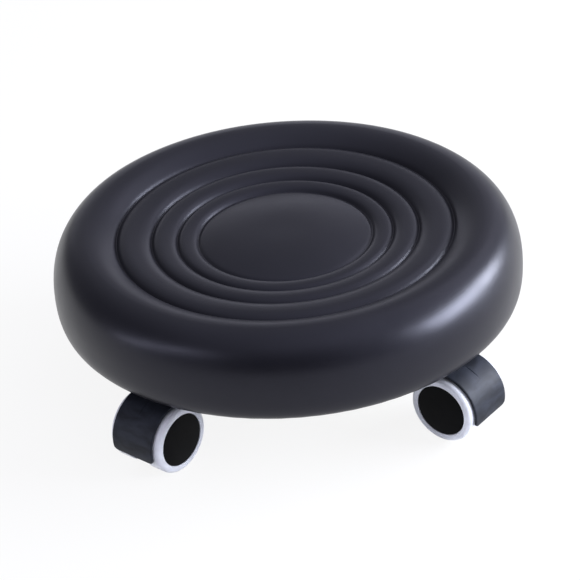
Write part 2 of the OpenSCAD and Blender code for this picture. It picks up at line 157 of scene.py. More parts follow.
# Exponents of the curves; 2 is an ellipse or a parabola, and more is fuller
FOOT_FULLNESS, CREST_FULLNESS, DISC_FULLNESS, BAND_FULLNESS = 2.6, 2.2, 2.2, 2.6
HEM_R, COVER_T, FOAM_IN, BOARD_R, BOARD_TOP = 102.0, 1.2, 1.5, 157.4, 73.8
SEGMENTS, FOAM_SEGMENTS, ROLL_LENGTHS = 288, 96, 8
# The section from the hem round the rim to the middle; a number is the band inside that groove
PARTS = ["hem", "foot", "crest", "slope", 3, 2, 1, "disc"]
SIDE_PARTS = ("hem", "foot", "crest")
GROOVED_PARTS = (3, 2, 1, "disc")


def dish_z(r):
    """Height between the creases, on a shallow bowl through the outer and the inner groove."""
    bend = DISH / (GROOVES[3] ** 2 - GROOVES[0] ** 2)
    return CREST_Z - STEP + CREASE - bend * (GROOVES[3] ** 2 - r * r)


def section(part, u, d):
    """A point (r, z) of the cushion's section, drawn in by d, at u from 0 to 1 along one part of it."""
    if part == "hem":
        return HEM_R + (FOOT_R - d - HEM_R) * u, BASE_Z + d
    if part == "foot":
        a = math.radians(90 * (1 - u))
        return (FOOT_R - d + (SEAT_R - FOOT_R) * math.cos(a) ** (2 / FOOT_FULLNESS),
                WAIST_Z - (WAIST_Z - BASE_Z - d) * math.sin(a) ** (2 / FOOT_FULLNESS))
    if part == "crest":
        a = math.radians(90 * u)
        return (CREST_R + (SEAT_R - d - CREST_R) * math.cos(a) ** (2 / CREST_FULLNESS),
                WAIST_Z + (CREST_Z - d - WAIST_Z) * math.sin(a) ** (2 / CREST_FULLNESS))
    if part == "slope":
        return GROOVES[3] + (CREST_R - GROOVES[3]) * (1 - u), CREST_Z - d - (STEP - CREASE) * u * u
    if part == "disc":
        r = GROOVES[0] * (1 - u)
        fall = max(0.0, (r - FLAT_R) / (GROOVES[0] - FLAT_R)) ** DISC_FULLNESS
        return r, dish_z(GROOVES[0]) + (DISC_SWELL - CREASE) * (1 - fall) - d
    outer = GROOVES[part]
    inner = GROOVES[part - 1]
    r = outer - (outer - inner) * u
    return r, dish_z(r) - d + BAND_RISE * (outer - inner) * (1 - abs(1 - 2 * u) ** BAND_FULLNESS)


def crease(r, part):
    """Depth of the pressed crease at each groove."""
    if part in SIDE_PARTS:
        return 0.0
    return sum(CREASE * math.exp(-(((r - g) / CREASE_W) ** 2)) for g in GROOVES)


def section_samples():
    """Places (part, u) along the section, close together at the creases and at tight curves."""
    fine, widest, closest, share = 400, 3.4, 0.42, 0.3
    dense = [(p, k / fine) for p in PARTS for k in range(fine)] + [("disc", 1.0)]
    line = np.array([section(p, u, 0) for p, u in dense])
    length = np.concatenate([[0], np.cumsum(np.hypot(*np.diff(line, axis=0).T))])
    picked, want = [0], 0.0
    for i in range(1, len(dense)):
        part = dense[i][0]
        near = 99 if part in SIDE_PARTS else min(abs(line[i, 0] - g) for g in GROOVES)
        want += (length[i] - length[i - 1]) / min(widest, max(closest, share * near))
        starts_part = dense[i][1] == 0 and part != "hem" and want > 0.35
        if want >= 1 or starts_part or i == len(dense) - 1:
            picked.append(i)
            want = 0.0
    return [dense[i] for i in picked], length[picked]


def relax_cover(samples, lengths):
    """Cloth simulation of the cover: pinned at the creases and the foot, and pressed out by the foam.

    Returns how far each place moves, as (ring length, angle) tables of radial and upright moves."""
    count, ring_gap, least_gap, frames, held_foot = 112, 4.2, 1.6, 20, 0.35
    cap = 0.35  # the foam and the mould hold the cover to about this far from its section
    take, last = [], -99.0
    for i, ((part, u), s) in enumerate(zip(samples, lengths)):
        if part == "hem":
            continue
        groove = u == 0 and part in GROOVED_PARTS
        if groove or s - last > ring_gap or i == len(samples) - 1:
            if groove and take and s - last < least_gap:
                take.pop()
            take.append(i)
            last = s
    angles = np.linspace(0, 2 * math.pi, count, endpoint=False)
    lines, pinned, at = [], [], 0
    for i in take:
        part, u = samples[i]
        r, z = section(part, u, 0)
        if r < 1e-6:
            lines.append(np.array([[0, 0, z]]))
        else:
            lines.append(np.stack([r * np.cos(angles), r * np.sin(angles), np.full(count, z)], 1))
        if (u == 0 and part in GROOVED_PARTS) or (part == "foot" and u < held_foot):
            pinned += range(at, at + len(lines[-1]))
        at += len(lines[-1])
    verts = np.concatenate(lines)
    cloth = make_object("cover_relaxing", verts, rings(lines))
    cloth.vertex_groups.new(name="held").add(pinned, 1.0, "REPLACE")
    modifier = cloth.modifiers.new("relax", "CLOTH")
    rules = modifier.settings
    rules.quality, rules.mass, rules.air_damping = 6, 0.35, 6
    rules.tension_stiffness = rules.compression_stiffness = 30
    rules.shear_stiffness, rules.bending_stiffness = 12, 1.2
    rules.use_pressure, rules.uniform_pressure_force = True, 4
    rules.vertex_group_mass = "held"
    rules.effector_weights.gravity = 0
    modifier.collision_settings.use_collision = False
    modifier.point_cache.frame_start, modifier.point_cache.frame_end = 1, frames
    scene = bpy.context.scene
    for f in range(1, frames + 1):
        scene.frame_set(f)
    done = cloth.evaluated_get(bpy.context.evaluated_depsgraph_get()).to_mesh()
    co = np.array([v.co for v in done.vertices]) / MM
    scene.frame_set(1)
    bpy.data.objects.remove(cloth)
    moved = co - verts
    size = np.linalg.norm(moved, axis=1)
    moved *= (cap * np.tanh(size / cap) / np.maximum(size, 1e-9))[:, None]
    out, up, at = [], [], 0
    for line in lines:
        m = moved[at:at + len(line)]
        if len(line) == 1:
            m = np.repeat(m, count, axis=0)
        out.append(m[:, 0] * np.cos(angles) + m[:, 1] * np.sin(angles))
        up.append(m[:, 2])
        at += len(line)
    print(f"relaxed cover moves by {size.max():.3f} mm at most before the cap, {size.mean():.3f} mm on average")
    return np.array([lengths[i] for i in take]), np.array(out), np.array(up)


def gathers(angles):
    """Small uneven tucks where the cover turns under the foot."""
    rng = np.random.default_rng(11)
    wave = np.zeros_like(angles)
    tucks_around = (61, 74, 89, 103)
    for n in tucks_around:
        wave += np.cos(n * angles + rng.uniform(0, 6.3)) * rng.uniform(0.6, 1.0)
    return 0.5 - 0.5 * np.tanh(1.6 * wave / 2)


def cushion_moves(samples, lengths, segments, relaxed):
    """Radial and upright moves of every place of the fine grid."""
    angles = np.linspace(0, 2 * math.pi, segments, endpoint=False)
    out = np.zeros((len(samples), segments))
    up = np.zeros_like(out)
    if relaxed is not None:
        at, table_out, table_up = relaxed
        count = table_out.shape[1]
        place = angles / (2 * math.pi) * count
        left = np.floor(place).astype(int) % count
        share = place - np.floor(place)
        for table, target in ((table_out, out), (table_up, up)):
            along = table[:, left] * (1 - share) + table[:, (left + 1) % count] * share
            for k in range(segments):
                target[:, k] = np.interp(lengths, at, along[:, k], left=0.0)
    tucks = gathers(angles)
    tuck_h, tuck_end, tuck_r, tuck_w = 0.7, 0.55, 154.5, 4
    slow = 0.12 * np.sin(3 * angles + 0.7) + 0.09 * np.sin(5 * angles + 2.1) + 0.06 * np.sin(8 * angles)
    for i, (part, u) in enumerate(samples):
        if part == "foot" and u < tuck_end:
            up[i] += tuck_h * (1 - u / tuck_end) ** 2 * tucks
        if part == "hem":
            r = section(part, u, 0)[0]
            up[i] += tuck_h * min(1.0, max(0.0, (r - tuck_r) / tuck_w)) * tucks
        if part == "crest":
            up[i] += slow * math.sin(math.pi * u / 2)
        if part == "slope":
            up[i] += slow * (1 - u)
    return angles, out, up


def place_line(samples, rows, angles, out, up, d, dip):
    """Rings of the section drawn in by d, moved with the cover. dip deepens the creases."""
    lines = []
    for i in rows:
        part, u = samples[i]
        r, z = section(part, u, d)
        z -= dip * crease(r, part)
        if r < 1e-6:
            lines.append(np.array([[0, 0, z + up[i].mean()]]))
            continue
        rr = r + out[i]
        lines.append(np.stack([rr * np.cos(angles), rr * np.sin(angles), z + up[i]], 1))
    return lines


def make_cushion():
    """The leather cover and the two foams under it."""
    samples, lengths = section_samples()
    relaxed = relax_cover(samples, lengths)
    angles, out, up = cushion_moves(samples, lengths, SEGMENTS, relaxed)
    rows = list(range(len(samples)))
    outer = place_line(samples, rows, angles, out, up, 0.0, 1.0)
    inner = place_line(samples, rows, angles, out, up, COVER_T, 1.0)
    # From the crown over the rim to the hem, round the hem's edge and back inside
    lines = outer[::-1] + inner
    cover = make_object("cushion_cover", np.concatenate(lines), rings(lines))
    level = cover.modifiers.new("smooth", "SUBSURF")
    level.levels = level.render_levels = 1
    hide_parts("seat_cover")
    print("cushion rings", len(rows), "faces", len(cover.data.polygons))

    # Foam pad under the disc and the bands, and the roll along the rim in eight lengths
    f_angles, f_out, f_up = cushion_moves(samples, lengths, FOAM_SEGMENTS, relaxed)
    f_out, f_up = f_out * 0, np.minimum(f_up, 0)
    pad = foam_pad(samples, f_angles, f_out, f_up)
    roll = foam_roll(samples, f_angles, f_out, f_up)
    return cover, pad, roll


def foam_pad(samples, angles, out, up):
    """The pad under the disc and the bands."""
    edge_r, floor_z, side_z = GROOVES[3] - 0.3, BOARD_TOP + 0.2, 90.0
    top = [i for i, (p, u) in enumerate(samples) if p in GROOVED_PARTS and section(p, u, 0)[0] < edge_r]
    lines = place_line(samples, top, angles, out, up, FOAM_IN, 1.0)[::-1]
    for z in (side_z, floor_z):
        lines.append(np.stack([edge_r * np.cos(angles), edge_r * np.sin(angles), np.full(len(angles), z)], 1))
    lines.append(np.array([[0, 0, floor_z]]))
    pad = make_object("foam_pad", np.concatenate(lines), rings(lines), 50)
    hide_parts("seat_foam")
    return pad


def foam_roll(samples, angles, out, up):
    """The roll along the rim, in lengths that stop a hair's breadth before one another."""
    inner_r, floor_z, end_gap, first_end = GROOVES[3] + 0.4, BOARD_TOP + 0.2, 0.0012, -41.6
    rows = [
        i for i, (p, u) in enumerate(samples)
        if p in ("foot", "crest", "slope") and section(p, u, 0)[0] > inner_r
    ]
    outline = np.stack(place_line(samples, rows, angles, out, up, FOAM_IN, 0.0))
    pocket = [(inner_r, floor_z), (BOARD_R, floor_z), (BOARD_R, BASE_Z + FOAM_IN)]
    count = len(angles)
    first = int(round(first_end / 360 * count)) % count
    steps = count // ROLL_LENGTHS
    parts = []
    for n in range(ROLL_LENGTHS):
        cut = []
        for k in range(steps + 1):
            c = (first + n * steps + k) % count
            shift = end_gap if k == 0 else -end_gap if k == steps else 0
            a = angles[c] + shift
            turn = np.array([[math.cos(shift), -math.sin(shift)], [math.sin(shift), math.cos(shift)]])
            loop = outline[:, c].copy()
            loop[:, :2] = loop[:, :2] @ turn.T
            cut.append(np.concatenate([loop, [(r * math.cos(a), r * math.sin(a), z) for r, z in pocket]]))
        faces = rings(cut)
        size = len(cut[0])
        last = (len(cut) - 1) * size
        faces += [tuple(range(size)), tuple(last + i for i in reversed(range(size)))]
        parts.append((np.concatenate(cut), faces))
    verts, faces = join(*parts)
    roll = make_object("foam_edge_roll", verts, faces, 50)
    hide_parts("edge_roll")
    return roll


# Caster pieces
WHEEL_R, WHEEL_IN, WHEEL_OUT, RIM_R = 25.0, 8.0, 22.5, 19.5
CAP_BACK, CAP_R, SKIRT_R = 20.3, 19.35, 16.85
BAY_R, HOOD_R, HOOD_HALF, HOOD_DROP, HOOD_CORNER, HOOD_WRAP = 25.8, 27.6, 18.2, 7.8, 4.0, 146.0
HOOD_ROUND, HOOD_LIP = 0.8, 0.65
# The slot along the hood's middle: depth, half width, and its ends in degrees up from the axle
SLOT_DEEP, SLOT_HALF, SLOT_FROM, SLOT_TO = 0.3, 0.35, 52, 76
TRAIL, SOCKET_LOW, SOCKET_R, SOCKET_TOP, COLLAR_Z, COLLAR_R = 20.5, 28.5, 7.2, 56.3, 50.3, 10
PIN_LOW, PIN_BORE, RING_BAY_R = 30.8, 4.05, 5.4
WEB_HALF, BOSS_R, BOSS_HALF, AXLE_BORE = 3.0, 6.5, 7.7, 3.05


def hood_shell():
    """The curved shell over both wheels, with rounded edges and a short slot along its middle."""
    half, mid, inner_round = HOOD_HALF, (BAY_R + HOOD_R) / 2, 0.4
    flat = half - HOOD_ROUND
    ys = [0.3, 0.5, 1.2, 3.0, 5.5, 8.0, 10.5, 12.5, 14.2, 15.3, 16.2, 16.9]
    ys = [-y for y in reversed(ys)] + ys
    outer = [(y, HOOD_R) for y in [-flat] + ys + [flat]]
    side = [
        (flat + HOOD_ROUND * math.sin(a), HOOD_R - HOOD_ROUND + HOOD_ROUND * math.cos(a))
        for a in np.radians([22, 45, 67, 90])
    ]
    side += [
        (half - inner_round + inner_round * math.cos(a), BAY_R + inner_round - inner_round * math.sin(a))
        for a in np.radians([0, 45])
    ]
    inner_y = [-half + inner_round] + ys + [half - inner_round]
    inner = [(y, BAY_R) for y in reversed(inner_y)]
    far_side = [(-y, r) for y, r in reversed(side)]
    loop = outer + side + inner + far_side

    def low(y):
        over = max(0.0, abs(y) - (half - HOOD_CORNER))
        return -HOOD_DROP + HOOD_CORNER - math.sqrt(max(0.0, HOOD_CORNER ** 2 - over ** 2))

    # Places along the wrap, close together at both ends where the lip rounds off
    total, ends = 79.5, [0, 0.12, 0.3, 0.55, 1.1]
    places = ends + list(np.linspace(3.2, 76, 38)) + [total - s for s in reversed(ends)]
    lines = []
    for s in places:
        line = []
        edge = min(s, total - s)
        shrink = HOOD_LIP - math.sqrt(max(0.0, HOOD_LIP ** 2 - max(0.0, HOOD_LIP - edge) ** 2))
        for y, r in loop:
            a0 = math.asin(low(y) / r)
            a1 = math.radians(HOOD_WRAP)
            a = a0 + (a1 - a0) * s / total
            rr = r - shrink * (1 if r > mid else -1)
            slot = SLOT_DEEP if r == HOOD_R and abs(y) <= SLOT_HALF else 0.0
            deg = math.degrees(a)
            slot *= min(1.0, max(0.0, (deg - SLOT_FROM) / 5)) * min(1.0, max(0.0, (SLOT_TO - deg) / 3))
            line.append((TRAIL + (rr - slot) * math.cos(a), y, WHEEL_R + (rr - slot) * math.sin(a)))
        lines.append(np.array(line))
    faces = rings(lines)
    n, k = len(loop), len(outer)
    inner_start = k + len(side)
    for start, flip in ((0, False), ((len(lines) - 1) * n, True)):
        facing = start + inner_start + k - 1
        caps = [(start + i, start + i + 1, facing - 1 - i, facing - i) for i in range(k - 1)]
        caps.append(tuple(start + i for i in range(k - 1, inner_start + 1)))
        caps.append(tuple(start + i % n for i in range(inner_start + k - 1, n + 1)))
        faces += [tuple(reversed(c)) if flip else c for c in caps]
    return np.concatenate(lines), faces


def prism(outline, half, edge):
    """A plate with this outline in x and z, with softened edges, and y from -half to half."""
    pts = np.array(outline, float)
    n = len(pts)
    ahead, behind = np.roll(pts, -1, 0) - pts, pts - np.roll(pts, 1, 0)
    tangent = ahead / np.linalg.norm(ahead, axis=1)[:, None] + behind / np.linalg.norm(behind, axis=1)[:, None]
    normal = np.stack([tangent[:, 1], -tangent[:, 0]], 1)
    normal /= np.linalg.norm(normal, axis=1)[:, None]
    near = [(-half, edge), (-half + edge * 0.3, edge * 0.3), (-half + edge, 0)]
    lines = []
    for y, shrink in near + [(-y, shrink) for y, shrink in reversed(near)]:
        p = pts - normal * shrink
        lines.append(np.stack([p[:, 0], np.full(n, y), p[:, 1]], 1))
    faces = rings(lines)
    last = (len(lines) - 1) * n
    faces += [tuple(range(n)), tuple(last + i for i in reversed(range(n)))]
    return np.concatenate(lines), faces


def hood_frame():
    """Web between the wheels, axle boss and swivel socket of the hood."""
    r = (BAY_R + HOOD_R) / 2
    a0, a1 = math.asin(-HOOD_DROP / r), math.pi - math.asin((SOCKET_LOW - WHEEL_R) / r)
    outline = [(TRAIL + r * math.cos(a), WHEEL_R + r * math.sin(a)) for a in np.linspace(a0, a1, 40)]
    outline += [(SOCKET_R, SOCKET_LOW), (TRAIL - BOSS_R, WHEEL_R - HOOD_DROP)]
    web = prism(outline, WEB_HALF, 0.5)
    end, side = BOSS_HALF, BOSS_HALF - 0.5
    boss_v, boss_f = lathe([
        (AXLE_BORE, -end), (BOSS_R - 0.5, -end), (BOSS_R, -side),
        (BOSS_R, side), (BOSS_R - 0.5, end), (AXLE_BORE, end),
    ], 48, ring=True)
    boss_v = np.stack([boss_v[:, 0] + TRAIL, boss_v[:, 2], boss_v[:, 1] + WHEEL_R], 1)
    boss_f = [tuple(reversed(f)) for f in boss_f]
    low, top, bore, bay_low, bay_top = SOCKET_LOW, SOCKET_TOP, PIN_BORE, PIN_LOW + 4 - 0.3, PIN_LOW + 4 + 1.4
    socket = lathe([
        (0, low), (SOCKET_R - 0.8, low), (SOCKET_R, low + 0.8), (SOCKET_R, COLLAR_Z - 4),
        (COLLAR_R, COLLAR_Z), (COLLAR_R, top - 0.5), (COLLAR_R - 0.5, top), (bore + 0.3, top), (bore, top - 0.3),
        (bore, bay_top), (RING_BAY_R, bay_top), (RING_BAY_R, bay_low), (bore, bay_low), (bore, PIN_LOW - 0.3),
        (0, PIN_LOW - 0.3),
    ], 64)
    return join(web, (boss_v, boss_f), socket)


def tread_shape():
    """The soft tyre, round at both shoulders, with a rolled lip against the cap."""
    inner_round, outer_round = 2, 3.2
    points = [(RIM_R, WHEEL_IN + 0.4), (RIM_R + 0.4, WHEEL_IN)]
    points += arc(WHEEL_R - inner_round, WHEEL_IN + inner_round, inner_round, -90, 0, 8)
    points += [(WHEEL_R, 12.5), (WHEEL_R - 0.05, 15.2), (WHEEL_R, 18.0)]
    points += arc(WHEEL_R - outer_round, WHEEL_OUT - outer_round, outer_round, 0, 90, 10)
    lip = [(1.7, 0), (0.8, 0.02), (0.35, 0.08), (0.08, 0.25), (0, 0.6)]
    points += [(RIM_R + out, WHEEL_OUT - down) for out, down in lip]
    return lathe(points, 128, ring=True)


def cap_shape():
    """The plug-in cap: a slightly domed face, and a round skirt that enters the hub."""
    edge, dome, corner = CAP_BACK + 1.8, 0.8, 0.5
    face_r, skirt_in, skirt_end = CAP_R - corner, SKIRT_R - 1.7, 16.5
    points = [
        (0, CAP_BACK), (skirt_in, CAP_BACK), (skirt_in, skirt_end + 0.2), (skirt_in + 0.2, skirt_end),
        (SKIRT_R - 0.2, skirt_end), (SKIRT_R, skirt_end + 0.2), (SKIRT_R, CAP_BACK), (CAP_R, CAP_BACK),
    ]
    points += arc(face_r, edge - corner, corner, 0, 90, 5)
    points += [(face_r * u, edge + dome * (1 - u * u)) for u in (0.97, 0.93, 0.85, 0.72, 0.55, 0.35, 0.15)]
    points.append((0, edge + dome))
    return lathe(points, 96)


def put(name, shape, turn, at, sharp=35):
    """An object from a shape in millimetres, turned and moved to its place in the mesh itself."""
    verts, faces = shape
    obj = make_object(name, verts, faces, sharp)
    obj.data.transform(Matrix.Translation(at) @ turn.to_4x4())
    if turn.determinant() < 0:
        obj.data.flip_normals()
    obj.data.update()
    return obj


def frame_of(x, z):
    """Rotation with local x and local z along these directions."""
    x, z = Vector(x).normalized(), Vector(z).normalized()
    return Matrix((x, z.cross(x), z)).transposed()


def make_casters():
    """Hood, tread and cap skins of every caster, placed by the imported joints."""
    pieces = []
    shell, inner_frame, tread, cap = hood_shell(), hood_frame(), tread_shape(), cap_shape()
    for corner in CORNERS:
        pin = Vector(JOINTS[corner + "_swivel"]["pos_m"])
        hub = Vector(JOINTS[corner + "_wheel_1_spin"]["pos_m"])
        heading = Vector((hub.x - pin.x, hub.y - pin.y, 0)).normalized()
        upright = frame_of(heading, (0, 0, 1))
        foot = Vector((pin.x, pin.y, 0))
        for part, shape, sharp in (("hood_shell", shell, 40), ("hood_frame", inner_frame, 35)):
            obj = put(f"{corner}_{part}", shape, upright, foot, sharp)
            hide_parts(corner + "_hood")
            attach(obj, corner + "_caster")
            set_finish(obj, "hood_plastic")
            pieces.append(obj)
        side = upright @ Vector((0, 1, 0))
        for k, axis in ((1, side), (2, -side)):
            wheel = f"{corner}_wheel_{k}"
            turn = frame_of((0, 0, -1), axis)
            for part, shape, slot in (("tread", tread, "tread_elastomer"), ("cap", cap, "cap_plastic")):
                obj = put(f"{wheel}_{part}_skin", shape, turn, hub, 35)
                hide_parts(f"{wheel}_{part}")
                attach(obj, wheel)
                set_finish(obj, slot)
                pieces.append(obj)
    return pieces


# Materials
class Nodes:
    """Short ways to add and link shader nodes."""

    def __init__(self, name):
        self.material = bpy.data.materials.new(name)
        self.material.use_nodes = True
        self.tree = self.material.node_tree
        self.tree.nodes.clear()
        self.out = self.add("ShaderNodeOutputMaterial")
        self.shader = self.add("ShaderNodeBsdfPrincipled")
        self.link(self.shader.outputs[0], self.out.inputs[0])
        self.place = self.add("ShaderNodeTexCoord").outputs["Object"]
        self.height = None

    def add(self, kind, **settings):
        node = self.tree.nodes.new(kind)
        for key, value in settings.items():
            setattr(node, key, value)
        return node

    def link(self, a, b):
        self.tree.links.new(a, b)

    def set(self, **values):
        for key, value in values.items():
            self.shader.inputs[key.replace("_", " ")].default_value = value

    def stretched(self, scale):
        """Object coordinates scaled by axis, for grain that runs one way."""
        node = self.add("ShaderNodeMapping")
        node.inputs["Scale"].default_value = scale
        self.link(self.place, node.inputs["Vector"])
        return node.outputs[0]

    def noise(self, scale, detail=3.0, rough=0.55, at=None, distortion=0.0):
        node = self.add("ShaderNodeTexNoise")
        node.inputs["Scale"].default_value = scale
        node.inputs["Detail"].default_value = detail
        node.inputs["Roughness"].default_value = rough
        node.inputs["Distortion"].default_value = distortion
        self.link(at or self.place, node.inputs["Vector"])
        return node.outputs["Fac"]

    def cells(self, scale, randomness=1.0):
        """Distance to the nearest of scattered points; randomness 0 puts them on a grid."""
        node = self.add("ShaderNodeTexVoronoi", feature="F1")
        node.inputs["Scale"].default_value = scale
        node.inputs["Randomness"].default_value = randomness
        self.link(self.place, node.inputs["Vector"])
        return node.outputs["Distance"]

    def map(self, value, low, high, to_low, to_high):
        """The value taken from one range to another."""
        node = self.add("ShaderNodeMapRange")
        for key, number in (("From Min", low), ("From Max", high), ("To Min", to_low), ("To Max", to_high)):
            node.inputs[key].default_value = number
        self.link(value, node.inputs["Value"])
        return node.outputs[0]

    def math(self, operation, a, b=None):
        node = self.add("ShaderNodeMath", operation=operation)
        for i, value in enumerate((a, b)):
            if value is None:
                continue
            if isinstance(value, (int, float)):
                node.inputs[i].default_value = value
            else:
                self.link(value, node.inputs[i])
        return node.outputs[0]

    def ramp(self, value, stops):
        """A colour by value, from stops of place and colour."""
        node = self.add("ShaderNodeValToRGB")
        ramp = node.color_ramp
        while len(ramp.elements) < len(stops):
            ramp.elements.new(0.5)
        for element, (position, colour) in zip(ramp.elements, stops):
            element.position = position
            element.color = (*colour, 1)
        self.link(value, node.inputs[0])
        return node.outputs[0]

    def colour(self, socket):
        self.link(socket, self.shader.inputs["Base Color"])

    def roughness(self, socket):
        self.link(socket, self.shader.inputs["Roughness"])

    def bump(self, value, distance, strength=1.0):
        """Relief on top of the relief already there; distance in metres."""
        node = self.add("ShaderNodeBump")
        node.inputs["Strength"].default_value = strength
        node.inputs["Distance"].default_value = distance
        self.link(value, node.inputs["Height"])
        if self.height is not None:
            self.link(self.height, node.inputs["Normal"])
        self.height = node.outputs[0]
        self.link(self.height, self.shader.inputs["Normal"])


def leather():
    m = Nodes("cover_leather")
    m.set(Specular_IOR_Level=0.33, Specular_Tint=(0.82, 0.83, 1.0, 1))
    slow = m.noise(9, 4)
    m.colour(m.ramp(slow, [(0.3, (0.0058, 0.0056, 0.0082)), (0.7, (0.0088, 0.0085, 0.0120))]))
    m.roughness(m.map(m.noise(26, 5, 0.6), 0.3, 0.7, 0.30, 0.36))
    m.bump(slow, 0.0006, 0.35)
    m.bump(m.cells(950), 0.00005, 0.5)
    m.bump(m.noise(3200, 2), 0.00002, 0.5)
    return m.material


def moulded(name, dark, light, rough, level, grain, wear):
    """Textured moulding plastic with faint flow marks and fine scuffs."""
    m = Nodes(name)
    m.set(Specular_IOR_Level=level, Specular_Tint=(0.9, 0.92, 1.0, 1))
    flow = m.noise(1, 3, 0.5, m.stretched((60, 60, 160)), 0.6)
    m.colour(m.ramp(flow, [(0.36, dark), (0.64, light)]))
    scuffs = m.noise(1, 2, 0.7, m.stretched((900, 260, 90)), 1.5)
    marks = m.map(scuffs, 0.62, 0.72, 0.0, wear)
    base = m.map(m.noise(75, 4, 0.6), 0.3, 0.7, rough - 0.05, rough + 0.05)
    m.roughness(m.math("ADD", base, marks))
    m.bump(flow, 0.00015, 0.3)
    m.bump(m.noise(grain, 2, 0.6), 0.00004, 0.6)
    return m.material


def elastomer():
    m = Nodes("tread_elastomer")
    m.set(Specular_IOR_Level=0.45, Subsurface_Weight=0.25, Subsurface_Scale=0.0015)
    m.shader.inputs["Subsurface Radius"].default_value = (1.0, 0.95, 0.9)
    cloud = m.noise(120, 4)
    m.colour(m.ramp(cloud, [(0.3, (0.64, 0.65, 0.70)), (0.7, (0.71, 0.72, 0.77))]))
    m.roughness(m.map(m.noise(400, 4), 0.3, 0.7, 0.26, 0.36))
    m.bump(m.noise(900, 3), 0.00004, 0.5)
    return m.material


def zinc():
    m = Nodes("zinc_steel")
    m.set(Metallic=1.0)
    grain = m.noise(1, 3, 0.6, m.stretched((2600, 180, 2600)))
    spangle = m.cells(260)
    m.colour(m.ramp(spangle, [(0.2, (0.56, 0.57, 0.60)), (0.8, (0.66, 0.67, 0.69))]))
    m.roughness(m.map(grain, 0.3, 0.7, 0.28, 0.44))
    m.bump(grain, 0.00003, 0.5)
    return m.material


def spring_steel():
    m = Nodes("spring_steel")
    m.set(Metallic=1.0)
    cloud = m.noise(300, 4)
    m.colour(m.ramp(cloud, [(0.3, (0.22, 0.23, 0.26)), (0.7, (0.36, 0.37, 0.40))]))
    m.roughness(m.map(m.noise(900, 3), 0.3, 0.7, 0.32, 0.5))
    m.bump(m.noise(1800, 2), 0.00002, 0.5)
    return m.material


def staple_wire():
    m = Nodes("staple_wire")
    m.set(Metallic=1.0)
    drawn = m.noise(1, 3, 0.6, m.stretched((300, 300, 4000)))
    m.colour(m.ramp(drawn, [(0.3, (0.50, 0.50, 0.52)), (0.7, (0.64, 0.64, 0.65))]))
    m.roughness(m.map(drawn, 0.3, 0.7, 0.25, 0.4))
    m.bump(drawn, 0.00002, 0.5)
    return m.material


def nylon():
    m = Nodes("nylon")
    m.set(Subsurface_Weight=0.15, Subsurface_Scale=0.001)
    cloud = m.noise(220, 3)
    m.colour(m.ramp(cloud, [(0.3, (0.66, 0.65, 0.58)), (0.7, (0.76, 0.75, 0.69))]))
    m.roughness(m.map(m.noise(600, 3), 0.3, 0.7, 0.4, 0.52))
    m.bump(m.noise(1600, 2), 0.00003, 0.5)
    return m.material


def dust_cloth():
    """Spun non-woven cloth: tangled fibres with rows of pressed dots."""
    m = Nodes("dust_cloth")
    m.set(Specular_IOR_Level=0.2, Sheen_Weight=0.15, Sheen_Roughness=0.5)
    fibres = m.noise(1, 4, 0.7, m.stretched((1500, 2400, 1500)), 2.5)
    dots = m.cells(620, randomness=0.0)
    pressed = m.map(dots, 0.20, 0.34, 0.0, 1.0)
    m.colour(m.ramp(fibres, [(0.35, (0.016, 0.016, 0.018)), (0.7, (0.042, 0.042, 0.046))]))
    m.roughness(m.map(fibres, 0.3, 0.7, 0.7, 0.92))
    m.bump(pressed, 0.00015, 0.7)
    m.bump(fibres, 0.00012, 0.6)
    m.bump(m.noise(14, 3), 0.0015, 0.4)
    return m.material


def plywood():
    m = Nodes("plywood")
    m.set(Specular_IOR_Level=0.3)
    split = m.add("ShaderNodeSeparateXYZ")
    m.link(m.place, split.inputs[0])
    plies = m.math("FRACT", m.math("MULTIPLY", split.outputs["Z"], 420))
    grain = m.noise(1, 5, 0.65, m.stretched((30, 520, 520)), 1.2)
    mixed = m.math("ADD", m.math("MULTIPLY", plies, 0.25), m.math("MULTIPLY", grain, 0.75))
    m.colour(m.ramp(mixed, [(0.25, (0.30, 0.18, 0.09)), (0.75, (0.55, 0.38, 0.21))]))
    m.roughness(m.map(grain, 0.3, 0.7, 0.55, 0.75))
    m.bump(grain, 0.0002, 0.5)
    return m.material


def foam():
    m = Nodes("foam")
    m.set(Specular_IOR_Level=0.2, Subsurface_Weight=0.1, Subsurface_Scale=0.002)
    cells = m.cells(900)
    m.colour(m.ramp(cells, [(0.1, (0.55, 0.48, 0.28)), (0.6, (0.80, 0.74, 0.52))]))
    m.roughness(m.map(m.noise(500, 3), 0.3, 0.7, 0.85, 0.97))
    m.bump(cells, 0.0005, 0.8)
    return m.material


